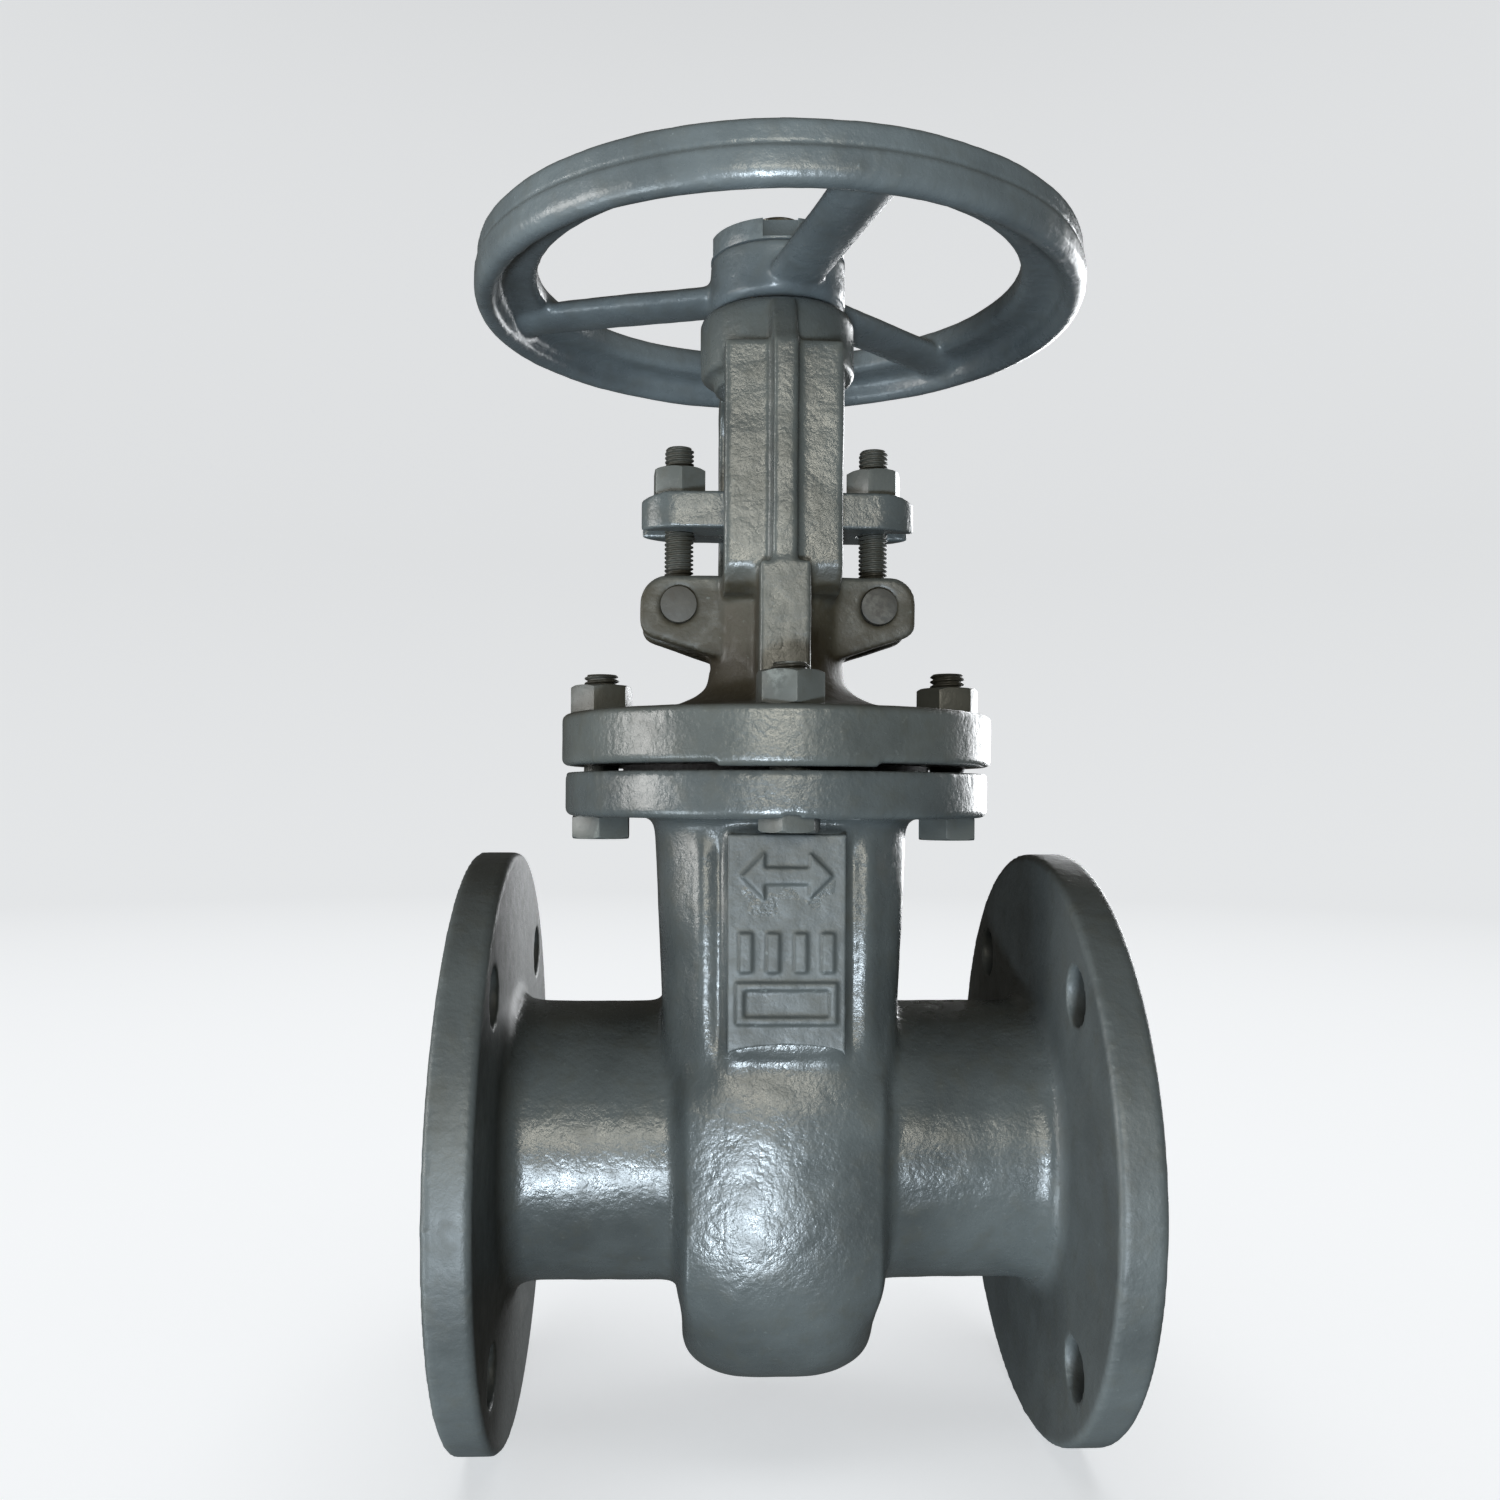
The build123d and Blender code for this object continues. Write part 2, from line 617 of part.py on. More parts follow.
def wheel_rim():
    """Rim with a skirt that hangs below its web, and a step halfway up its outside."""
    step_z = 292.3
    outline = [
        (RIM_INNER_R + 1.5, RIM_TOP_Z - 0.6),
        (RIM_INNER_R + 4, RIM_TOP_Z),
        (RIM_UPPER_R - 1.4, RIM_TOP_Z),
        (RIM_UPPER_R, RIM_TOP_Z - 1.4),
        (RIM_UPPER_R, step_z),
        (RIM_R, step_z - 0.8),
        (RIM_R, RIM_LOW_Z + 3.5),
        (RIM_R - 1.2, RIM_LOW_Z + 1),
        (RIM_R - 3.2, RIM_LOW_Z),
        (RIM_SKIRT_R + 2.4, RIM_LOW_Z + 0.4),
        (RIM_SKIRT_R + 0.6, RIM_LOW_Z + 2.4),
        (RIM_SKIRT_R, RIM_WEB_Z - 2),
        (RIM_SKIRT_R - 2, RIM_WEB_Z),
        (RIM_INNER_R + 2, RIM_WEB_Z),
        (RIM_INNER_R, RIM_WEB_Z + 2),
        (RIM_INNER_R, RIM_TOP_Z - 3),
    ]
    return turned(outline)


def wheel_spoke(angle):
    """One oval spoke from the hub into the skirt of the rim."""
    section = Plane.YZ.offset(18) * Ellipse(SPOKE_HALF_WIDTH, SPOKE_HALF_HEIGHT)
    bar = extrude(section, RIM_SKIRT_R + 2 - 18)
    return Pos(0, 0, SPOKE_Z) * Rot(0, 0, angle) * bar


def make_handwheel():
    """Cast handwheel with three spokes and a keyed hub."""
    hub = [
        (0, HUB_LOW_Z),
        (HUB_R - 1.8, HUB_LOW_Z),
        (HUB_R, HUB_LOW_Z + 1.8),
        (HUB_R, HUB_TOP_Z),
        (0, HUB_TOP_Z),
    ]
    wheel = turned(hub) + wheel_rim()
    for angle in SPOKE_ANGLES:
        wheel += wheel_spoke(angle)
    wheel -= rod_z(NUT_SEAT_R, HUB_LOW_Z - 5, HUB_TOP_Z + 5)
    return wheel - key_bar()


def make_locknut():
    """Round locknut with four spanner notches in its edge."""
    nut = ring_z(HUB_R, NUT_THREAD_R, HUB_TOP_Z, LOCKNUT_TOP_Z)
    for quarter in range(4):
        notch = block(-5.8, 5.8, -HUB_R - 1, -HUB_R + 2.2, HUB_TOP_Z + 0.8, LOCKNUT_TOP_Z + 1)
        nut -= Rot(0, 0, 90 * quarter - 2) * notch
    return nut


# ---------------------------------------------------------------- export

os.makedirs("parts", exist_ok=True)
outlet_seat = make_seat_ring()
right_pin = make_hinge_pin()
right_split_pin = make_split_pin()
right_eye_bolt = make_eye_bolt()
export(make_body(), "body")
export(outlet_seat, "seat_ring_outlet")
export(mirror(outlet_seat, Plane.YZ), "seat_ring_inlet")
export(ring_z(GASKET_OUTER_R, GASKET_INNER_R, BODY_FLANGE_TOP_Z, BONNET_FLANGE_LOW_Z), "bonnet_gasket")
export(make_bonnet(), "bonnet")
export(make_bonnet_bolts(), "bonnet_bolts")
export(make_bonnet_nuts(), "bonnet_nuts")
export(ring_z(BUSH_R, STEM_R + 0.25, CAVITY_TOP_Z, STUFFING_LOW_Z), "backseat_bush")
export(ring_z(STUFFING_R, STEM_R + 0.4, STUFFING_LOW_Z, PACKING_LOW_Z), "packing_washer")
for number in range(PACKING_COUNT):
    export(packing_ring(number), f"packing_ring_{number + 1}")
export(make_gland_follower(), "gland_follower")
export(make_gland_flange(), "gland_flange")
export(right_pin, "hinge_pin_right")
export(mirror(right_pin, Plane.YZ), "hinge_pin_left")
export(right_split_pin, "split_pin_right")
export(mirror(right_split_pin, Plane.YZ), "split_pin_left")
export(right_eye_bolt, "eye_bolt_right")
export(mirror(right_eye_bolt, Plane.YZ), "eye_bolt_left")
export(make_gland_nut(12), "gland_nut_right")
export(mirror(make_gland_nut(25), Plane.YZ), "gland_nut_left")
export(make_retainer(), "stem_nut_retainer")
export(retainer_screw_hole(), "retainer_grub_screw")
washer_low = ring_z(THRUST_R, NUT_JOURNAL_R + 0.3, THRUST_LOW_Z, THRUST_LOW_Z + WASHER_THICK)
washer_high = ring_z(THRUST_R, NUT_NECK_R + 0.3, THRUST_TOP_Z - WASHER_THICK, THRUST_TOP_Z)
export(washer_low, "thrust_washer_lower")
export(washer_high, "thrust_washer_upper")
export(make_stem_nut(), "stem_nut")
export(make_handwheel(), "handwheel")
export(key_bar(), "wheel_key")
export(make_locknut(), "wheel_locknut")
export(make_stem(), "stem")
export(make_wedge(), "wedge")
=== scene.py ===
import json
import math

import bmesh
import bpy
import numpy as np
from mathutils import Matrix, Vector, noise


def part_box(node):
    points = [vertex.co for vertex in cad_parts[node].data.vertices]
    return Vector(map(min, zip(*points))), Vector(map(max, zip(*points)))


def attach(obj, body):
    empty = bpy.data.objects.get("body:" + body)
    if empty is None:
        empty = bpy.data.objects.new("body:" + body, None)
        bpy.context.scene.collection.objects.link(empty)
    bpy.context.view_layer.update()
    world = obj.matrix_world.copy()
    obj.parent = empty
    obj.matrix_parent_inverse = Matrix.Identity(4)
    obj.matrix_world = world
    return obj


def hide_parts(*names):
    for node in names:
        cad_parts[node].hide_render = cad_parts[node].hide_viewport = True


# A rising-stem flanged gate valve in grey enamel. Metres, in the CAD frame: X along the pipe,
# Z along the stem, and the valve's front towards -Y.
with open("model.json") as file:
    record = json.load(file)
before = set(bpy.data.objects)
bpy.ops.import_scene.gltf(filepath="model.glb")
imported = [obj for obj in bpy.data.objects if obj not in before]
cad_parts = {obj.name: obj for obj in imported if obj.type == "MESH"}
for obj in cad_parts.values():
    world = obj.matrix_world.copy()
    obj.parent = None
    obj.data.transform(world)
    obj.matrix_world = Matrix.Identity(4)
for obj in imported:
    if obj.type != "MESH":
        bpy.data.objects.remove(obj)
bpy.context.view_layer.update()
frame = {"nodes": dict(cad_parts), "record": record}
NODES = frame["nodes"]
MM = 0.001


def centre_of(node):
    """Middle of a CAD node's box."""
    low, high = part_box(node)
    return (low + high) / 2


AXIS_X = centre_of("stem").x
COVER_FACE_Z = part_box("bonnet_gasket")[0].z
COVER_BOLT_CIRCLE_R = 60 * MM
BODY_OF = {
    node: body
    for body, members in frame["record"]["behaviour"]["bodies"].items()
    for node in members
}
SLOT_OF = {part["node"]: part["material_slot"] for part in frame["record"]["subparts"]}


# ---------------------------------------------------------------- mesh tools


def smoothstep(low, high, value):
    """0 below low, 1 above high, and smooth between them."""
    share = np.clip((value - low) / (high - low), 0.0, 1.0)
    return share * share * (3 - 2 * share)


def points_of(mesh):
    """Vertex positions as an array."""
    flat = np.empty(len(mesh.vertices) * 3)
    mesh.vertices.foreach_get("co", flat)
    return flat.reshape(-1, 3)


def set_points(mesh, points):
    """Write vertex positions back."""
    mesh.vertices.foreach_set("co", points.ravel())
    mesh.update()


def normals_of(mesh):
    """Vertex normals as an array."""
    flat = np.empty(len(mesh.vertices) * 3)
    mesh.vertex_normals.foreach_get("vector", flat)
    return flat.reshape(-1, 3)


def new_object(name, mesh):
    """A linked object that holds a mesh."""
    piece = bpy.data.objects.new(name, mesh)
    bpy.context.scene.collection.objects.link(piece)
    return piece


def welded_copy(node, name):
    """A copy of a CAD node's mesh, with its split vertices joined and its flat faces whole."""
    mesh = NODES[node].data.copy()
    mesh.name = name
    mesh.materials.clear()
    shape = bmesh.new()
    shape.from_mesh(mesh)
    bmesh.ops.remove_doubles(shape, verts=shape.verts, dist=0.002 * MM)
    shape.to_mesh(mesh)
    shape.free()
    if mesh.attributes.get("custom_normal"):
        mesh.attributes.remove(mesh.attributes["custom_normal"])
    return new_object(name, mesh)


def with_modifiers(piece):
    """Turn what a piece's modifiers give into its mesh."""
    graph = bpy.context.evaluated_depsgraph_get()
    mesh = bpy.data.meshes.new_from_object(piece.evaluated_get(graph))
    piece.modifiers.clear()
    piece.data = mesh
    return piece


def remeshed(piece, voxel):
    """Rebuild a piece's surface from voxels."""
    modifier = piece.modifiers.new("voxels", "REMESH")
    modifier.mode = "VOXEL"
    modifier.voxel_size = voxel
    return with_modifiers(piece)


def relaxed(piece, passes, weights, convex):
    """Round a casting: hollow corners fill into fillets, and raised edges wear by a share of that."""
    mesh = piece.data
    edges = np.empty(len(mesh.edges) * 2, dtype=np.int64)
    mesh.edges.foreach_get("vertices", edges)
    start, end = edges.reshape(-1, 2).T
    count = len(mesh.vertices)
    degree = np.maximum(np.bincount(start, minlength=count) + np.bincount(end, minlength=count), 1)
    points = points_of(mesh)
    for _ in range(passes):
        total = np.empty_like(points)
        for axis in range(3):
            along = points[:, axis]
            total[:, axis] = np.bincount(start, along[end], count) + np.bincount(end, along[start], count)
        shift = total / degree[:, None] - points
        outward = np.einsum("ij,ij->i", shift, normals_of(mesh))
        share = np.where(outward > 0, 1.0, convex) * weights * 0.6
        points = points + shift * share[:, None]
        set_points(mesh, points)


def lumpy(piece, height, size, seed, weights):
    """Push the surface in and out by soft noise, like a sand casting."""
    mesh = piece.data
    points = points_of(mesh)
    offset = Vector((seed * 1.7, seed * 0.9, seed * 2.3))
    sample = [noise.noise(Vector(p) / size + offset) for p in points]
    push = np.array(sample) * height * weights
    set_points(mesh, points + normals_of(mesh) * push[:, None])


def edge_rounded(piece, corner_r, corner_z, radius, side):
    """Round a disc's rim about the stem axis: its lower edge for side -1, its upper for side +1."""
    mesh = piece.data
    points = points_of(mesh)
    out = points[:, :2] - (AXIS_X, 0.0)
    reach = np.hypot(out[:, 0], out[:, 1])
    across = reach - (corner_r - radius)
    along = (points[:, 2] - corner_z) * side + radius
    gap = np.hypot(across, along)
    beyond = (across > 0) & (along > 0) & (gap > radius)
    near = beyond & (along < radius * 1.6) & (across < radius * 1.6)
    share = np.where(near, radius / np.maximum(gap, 1e-9), 1.0)
    new_reach = corner_r - radius + across * share
    scale = np.where(near, new_reach / np.maximum(reach, 1e-9), 1.0)
    points[:, :2] = out * scale[:, None] + (AXIS_X, 0.0)
    points[:, 2] = np.where(near, corner_z + side * (along * share - radius), points[:, 2])
    set_points(mesh, points)


def extruded(name, outline, front, back):
    """A closed prism along Y from an (x, z) outline about the stem axis."""
    count = len(outline)
    verts = [(AXIS_X + x, y, z) for y in (front, back) for x, z in outline]
    faces = [tuple(range(count)), tuple(range(2 * count - 1, count - 1, -1))]
    faces += [(k, k + count, (k + 1) % count + count, (k + 1) % count) for k in range(count)]
    mesh = bpy.data.meshes.new(name)
    mesh.from_pydata([tuple(map(float, v)) for v in verts], [], faces)
    mesh.update()
    shape = bmesh.new()
    shape.from_mesh(mesh)
    bmesh.ops.recalc_face_normals(shape, faces=shape.faces)
    shape.to_mesh(mesh)
    shape.free()
    return new_object(name, mesh)


def box_outline(x_low, x_high, z_low, z_high):
    """Corners of an upright rectangle."""
    return [(x_low, z_low), (x_high, z_low), (x_high, z_high), (x_low, z_high)]


def shaded(piece, material, angle=None):
    """Give a piece its one material and smooth shading, sharp above an angle if one is given."""
    mesh = piece.data
    mesh.materials.clear()
    mesh.materials.append(material)
    mesh.shade_smooth()
    if angle is not None:
        mesh.set_sharp_from_angle(angle=math.radians(angle))


def added(piece, node, material, angle=None):
    """A piece with its material, moving with a CAD node's body."""
    shaded(piece, material, angle)
    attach(piece, BODY_OF[node])


def finished(piece, node, material, angle=None):
    """A piece that also stands for the CAD node."""
    added(piece, node, material, angle)
    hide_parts(node)


def bevelled(piece, width, angle=28, segments=2):
    """Break a piece's sharp edges."""
    shape = bmesh.new()
    shape.from_mesh(piece.data)
    bmesh.ops.dissolve_limit(
        shape, angle_limit=math.radians(1), verts=shape.verts, edges=shape.edges
    )
    shape.to_mesh(piece.data)
    shape.free()
    modifier = piece.modifiers.new("edges", "BEVEL")
    modifier.width = width
    modifier.segments = segments
    modifier.limit_method = "ANGLE"
    modifier.angle_limit = math.radians(angle)
    modifier.harden_normals = False
    return with_modifiers(piece)


def cut_above(piece, height):
    """Remove what stands above a height and close the cut."""
    shape = bmesh.new()
    shape.from_mesh(piece.data)
    everything = shape.verts[:] + shape.edges[:] + shape.faces[:]
    cut = bmesh.ops.bisect_plane(
        shape, geom=everything, plane_co=(0, 0, height), plane_no=(0, 0, 1), clear_outer=True
    )
    rim = [e for e in cut["geom_cut"] if isinstance(e, bmesh.types.BMEdge)]
    bmesh.ops.holes_fill(shape, edges=rim, sides=0)
    shape.to_mesh(piece.data)
    shape.free()
    return piece


def joined(name, pieces):
    """Several mesh objects as one."""
    shape = bmesh.new()
    for piece in pieces:
        piece.data.transform(piece.matrix_world)
        shape.from_mesh(piece.data)
        bpy.data.objects.remove(piece)
    mesh = bpy.data.meshes.new(name)
    shape.to_mesh(mesh)
    shape.free()
    return new_object(name, mesh)


def lathe_grid(name, rings, segments):
    """A closed surface from rings of (z, radius function of angle) about the Z axis at x, y = 0."""
    turn = np.linspace(0, 2 * np.pi, segments, endpoint=False)
    verts = []
    for z, radius in rings:
        r = radius(turn)
        verts += list(zip(r * np.cos(turn), r * np.sin(turn), np.full(segments, z)))
    faces = []
    for ring in range(len(rings) - 1):
        for k in range(segments):
            after = (k + 1) % segments
            low, high = ring * segments, (ring + 1) * segments
            faces.append((low + k, low + after, high + after, high + k))
    faces.append(tuple(range(segments))[::-1])
    top = (len(rings) - 1) * segments
    faces.append(tuple(range(top, top + segments)))
    mesh = bpy.data.meshes.new(name)
    mesh.from_pydata([tuple(map(float, v)) for v in verts], [], faces)
    mesh.update()
    return new_object(name, mesh)


def thread(name, x, y, low, high, radius, pitch, depth, hand=1, segments=56, flat=0.22):
    """A threaded rod: a helical groove of the real pitch, run out into a chamfer at its top."""
    steps = int(round((high - low) / pitch * 10))
    rings = []
    for z in np.linspace(low, high, steps + 1):
        near_top = max(0.0, z - (high - 0.9 * depth)) * 0.9
        near_low = 1.0 - smoothstep(low, low + 1.5 * pitch, np.array(z))

        def radius_at(turn, z=z, near_top=near_top, near_low=near_low):
            phase = (z / pitch - hand * turn / (2 * np.pi)) % 1.0
            slope = np.abs(phase - 0.5) * 2
            groove = np.clip((slope - flat) / (1 - 2 * flat), 0, 1) * (1 - near_low)
            return np.minimum(radius - depth * groove, radius - near_top * 1.1)

        rings.append((z, radius_at))
    piece = lathe_grid(name, rings, segments)
    piece.data.transform(Matrix.Translation((x, y, 0)))
    return piece


# ---------------------------------------------------------------- materials


def noise_node(tree, coords, scale, detail, rough=0.55):
    """A noise texture on the object's own coordinates."""
    node = tree.nodes.new("ShaderNodeTexNoise")
    node.inputs["Scale"].default_value = scale
    node.inputs["Detail"].default_value = detail
    node.inputs["Roughness"].default_value = rough
    tree.links.new(coords, node.inputs["Vector"])
    return node


def ramp(tree, value, stops):
    """A colour ramp over a value, from (position, colour) stops."""
    node = tree.nodes.new("ShaderNodeValToRGB")
    while len(node.color_ramp.elements) < len(stops):
        node.color_ramp.elements.new(0.5)
    for element, (position, colour) in zip(node.color_ramp.elements, stops):
        element.position = position
        element.color = (*colour, 1)
    tree.links.new(value, node.inputs["Fac"])
    return node.outputs["Color"]


def mixed(tree, share, first, second):
    """Two colours mixed by a share."""
    node = tree.nodes.new("ShaderNodeMix")
    node.data_type = "RGBA"
    factor, low_colour, high_colour = node.inputs[0], node.inputs[6], node.inputs[7]
    for socket, value in ((factor, share), (low_colour, first), (high_colour, second)):
        if isinstance(value, bpy.types.NodeSocket):
            tree.links.new(value, socket)
        elif isinstance(value, tuple):
            socket.default_value = (*value, 1)
        else:
            socket.default_value = value
    return node.outputs[2]


def mapped(tree, value, low, high, to_low, to_high):
    """A value moved from one range to another, clamped."""
    node = tree.nodes.new("ShaderNodeMapRange")
    node.inputs["From Min"].default_value = low
    node.inputs["From Max"].default_value = high
    node.inputs["To Min"].default_value = to_low
    node.inputs["To Max"].default_value = to_high
    tree.links.new(value, node.inputs["Value"])
    return node.outputs["Result"]


def bumped(tree, height, strength, distance, under=None):
    """A bump from a height."""
    node = tree.nodes.new("ShaderNodeBump")
    node.inputs["Strength"].default_value = strength
    node.inputs["Distance"].default_value = distance
    tree.links.new(height, node.inputs["Height"])
    if under is not None:
        tree.links.new(under, node.inputs["Normal"])
    return node.outputs["Normal"]


def blank_material(name, metallic, ior=1.45):
    """A node material with one Principled shader."""
    material = bpy.data.materials.new(name)
    material.use_nodes = True
    tree = material.node_tree
    shader = tree.nodes["Principled BSDF"]
    shader.inputs["Metallic"].default_value = metallic
    shader.inputs["IOR"].default_value = ior
    coords = tree.nodes.new("ShaderNodeTexCoord").outputs["Object"]
    return material, tree, shader, coords


def soil_and_shade_mask(tree, coords, low, high, front):
    """1 on the casting between two heights, and less on what stands furthest forward, so the soil doubles
    as painted shade in the recess.
    """
    split = tree.nodes.new("ShaderNodeSeparateXYZ")
    tree.links.new(coords, split.inputs["Vector"])
    rise = mapped(tree, split.outputs["Z"], low - 2 * MM, low + 2 * MM, 0.0, 1.0)
    fall = mapped(tree, split.outputs["Z"], high - 7 * MM, high, 1.0, 0.0)
    depth = mapped(tree, split.outputs["Y"], front - 2 * MM, front + 3 * MM, 0.35, 1.0)
    return times(tree, times(tree, rise, fall), depth)


def computed(tree, operation, first, second):
    """A maths operation on two values."""
    node = tree.nodes.new("ShaderNodeMath")
    node.operation = operation
    tree.links.new(first, node.inputs[0])
    tree.links.new(second, node.inputs[1])
    return node.outputs["Value"]


def times(tree, first, second):
    """Product of two values."""
    return computed(tree, "MULTIPLY", first, second)


def summed(tree, first, second):
    """Sum of two values."""
    return computed(tree, "ADD", first, second)


def enamel(name, grey, grime_and_shade, grain=1.0, grime_share=0.35, soil_and_shade=None, gloss=(0.22, 0.37)):
    """Grey enamel over cast steel: uneven tone, grimy patches, painted shade in creases, and rubbed edges
    that are partly a painted highlight.

    The soil is a colour, the lowest and highest Z that it covers, and the Y before which it thins out; it
    stands for brown soil and for painted shade, deepest where the casting lies back.
    Gloss is the least and the most roughness of clean paint.
    """
    material, tree, shader, coords = blank_material(name, 0.0, 1.5)
    broad = noise_node(tree, coords, 24, 4)
    middle = noise_node(tree, coords, 130, 5, 0.6)
    fine = noise_node(tree, coords, 520, 4, 0.6)
    light = tuple(c * 1.22 for c in grey)
    dark = tuple(c * 0.74 for c in grey)
    colour = ramp(tree, broad.outputs["Fac"], [(0.35, dark), (0.52, grey), (0.70, light)])
    rough = mapped(tree, middle.outputs["Fac"], 0.3, 0.7, *gloss)
    if soil_and_shade is not None:
        # Brown soil, which is also painted shade: strongest on what lies back.
        brown, low, high, front = soil_and_shade
        patchy = mapped(tree, middle.outputs["Fac"], 0.2, 0.5, 0.55, 1.0)
        mask = times(tree, soil_and_shade_mask(tree, coords, low, high, front), patchy)
        colour = mixed(tree, mask, colour, brown)
        rough = summed(tree, rough, mapped(tree, mask, 0.0, 1.0, 0.0, 0.30))
    patches = mapped(tree, middle.outputs["Fac"], 0.50, 0.72, 0.0, grime_share)
    colour = mixed(tree, patches, colour, grime_and_shade)
    # Painted shade: concave creases are darkened.
    edges = tree.nodes.new("ShaderNodeNewGeometry").outputs["Pointiness"]
    crease_shade = mapped(tree, edges, 0.40, 0.49, 0.75, 0.0)
    colour = mixed(tree, crease_shade, colour, tuple(c * 0.35 for c in grime_and_shade))
    # Convex edges are lightened: partly rubbed wear, partly a painted highlight.
    raised = mapped(tree, edges, 0.53, 0.60, 0.0, 0.8)
    rubbed_and_highlit = times(tree, raised, mapped(tree, fine.outputs["Fac"], 0.42, 0.6, 0.0, 1.0))
    wear_and_highlight = tuple(min(1.0, c * 2.1) for c in grey)
    colour = mixed(tree, rubbed_and_highlit, colour, wear_and_highlight)
    specks = mapped(tree, fine.outputs["Fac"], 0.66, 0.76, 0.0, 0.5)
    colour = mixed(tree, specks, colour, wear_and_highlight)
    tree.links.new(colour, shader.inputs["Base Color"])
    tree.links.new(rough, shader.inputs["Roughness"])
    peel = bumped(tree, middle.outputs["Fac"], 0.34 * grain, 1.1 * MM)
    normal = bumped(tree, fine.outputs["Fac"], 0.22 * grain, 0.40 * MM, peel)
    tree.links.new(normal, shader.inputs["Normal"])
    return material


def bare_metal(name, colour, stain, rough_low, rough_high, metallic=0.9):
    """Turned or rolled metal with fine marks round the stem axis and a stain."""
    material, tree, shader, coords = blank_material(name, metallic)
    stretch = tree.nodes.new("ShaderNodeMapping")
    stretch.inputs["Scale"].default_value = (1, 1, 14)
    tree.links.new(coords, stretch.inputs["Vector"])
    marks = noise_node(tree, stretch.outputs["Vector"], 180, 4)
    blotch = noise_node(tree, coords, 90, 5, 0.65)
    share = mapped(tree, blotch.outputs["Fac"], 0.42, 0.68, 0.0, 0.85)
    tree.links.new(mixed(tree, share, colour, stain), shader.inputs["Base Color"])
    rough = mapped(tree, blotch.outputs["Fac"], 0.3, 0.7, rough_low, rough_high)
    tree.links.new(rough, shader.inputs["Roughness"])
    normal = bumped(tree, marks.outputs["Fac"], 0.25, 0.15 * MM)
    tree.links.new(normal, shader.inputs["Normal"])
    return material


def fibre(name, colour):
    """Pressed graphite."""
    material, tree, shader, coords = blank_material(name, 0.2)
    weave = noise_node(tree, coords, 900, 3)
    light = tuple(c * 2.2 for c in colour)
    tone = ramp(tree, weave.outputs["Fac"], [(0.35, colour), (0.7, light)])
    tree.links.new(tone, shader.inputs["Base Color"])
    shader.inputs["Roughness"].default_value = 0.6
    tree.links.new(bumped(tree, weave.outputs["Fac"], 0.5, 0.2 * MM), shader.inputs["Normal"])
    return material


GREY = (0.068, 0.077, 0.078)
OLIVE = (0.052, 0.051, 0.038)
BROWN = (0.030, 0.025, 0.015)
WARM_GREY = (0.074, 0.081, 0.078)
# The wheel's enamel is paler and bluer than the body's; part of that is painted light, for the light its
# underside catches.
LIT_PALE_GREY = (0.095, 0.110, 0.116)
FLAT_GREY = (0.076, 0.082, 0.078)
PIN_GREY = (0.036, 0.034, 0.029)
DARK_OLIVE = (0.045, 0.040, 0.028)
RUST = (0.036, 0.025, 0.015)
# Brown on the bonnet neck: partly soil, partly painted shade where the neck lies back behind the yoke
# arms.
NECK_SOIL_AND_SHADE = (BROWN, 144 * MM, 193 * MM, -39 * MM)
BODY_PAINT = enamel("enamel_body", GREY, OLIVE)
MATT_PAINT = enamel("enamel_matt", GREY, OLIVE, grain=0.8, gloss=(0.42, 0.56))
BONNET_PAINT = enamel("enamel_bonnet", WARM_GREY, OLIVE, grime_share=0.40, soil_and_shade=NECK_SOIL_AND_SHADE)
WHEEL_PAINT = enamel("enamel_wheel", LIT_PALE_GREY, OLIVE, grain=0.8, grime_share=0.25)
FASTENER_PAINT = enamel(
    "enamel_fastener", FLAT_GREY, DARK_OLIVE, grain=0.5, grime_share=0.4, gloss=(0.34, 0.48)
)
PIN_PAINT = enamel("enamel_pin", PIN_GREY, RUST, grain=0.5, grime_share=0.6, gloss=(0.50, 0.66))
THREAD_STEEL = bare_metal(
    "thread_steel", (0.055, 0.056, 0.050), (0.030, 0.028, 0.020), 0.40, 0.62, metallic=0.1
)
STEM_STEEL = bare_metal("stem_steel", (0.30, 0.28, 0.23), (0.13, 0.11, 0.075), 0.28, 0.45)
GATE_STEEL = bare_metal("gate_steel", (0.50, 0.50, 0.48), (0.34, 0.33, 0.30), 0.22, 0.40)
PLAIN_STEEL = bare_metal("plain_steel", (0.33, 0.32, 0.29), (0.15, 0.13, 0.09), 0.35, 0.55)
BRONZE = bare_metal("bronze", (0.55, 0.38, 0.18), (0.28, 0.19, 0.09), 0.28, 0.45)
GRAPHITE = fibre("graphite", (0.03, 0.03, 0.032))
SLOT_MATERIAL = {
    "cast_steel": BODY_PAINT,
    "painted_fastener": FASTENER_PAINT,
    "bare_steel": PLAIN_STEEL,
    "stem_steel": STEM_STEEL,
    "gate_steel": GATE_STEEL,
    "bronze": BRONZE,
    "graphite": GRAPHITE,
}

for node, cad_object in NODES.items():
    cad_object.data.materials.clear()
    cad_object.data.materials.append(SLOT_MATERIAL[SLOT_OF[node]])


# ---------------------------------------------------------------- castings


def front_shoulders(piece):
    """Rounded shoulders and a groove on the front of the neck, beside the raised pad."""
    points = points_of(piece.data)
    x = np.abs(points[:, 0] - AXIS_X)
    z = points[:, 2]
    span = smoothstep(30 * MM, 46 * MM, z) * (1 - smoothstep(98 * MM, 108 * MM, z))
    front = smoothstep(25 * MM, 40 * MM, -points[:, 1])
    swell = 1.7 * MM * np.exp(-(((x - 26.5 * MM) / (3.6 * MM)) ** 2))
    groove = 1.1 * MM * np.exp(-(((x - 20.0 * MM) / (2.0 * MM)) ** 2))
    points[:, 1] += (groove - swell) * span * front
    set_points(piece.data, points)


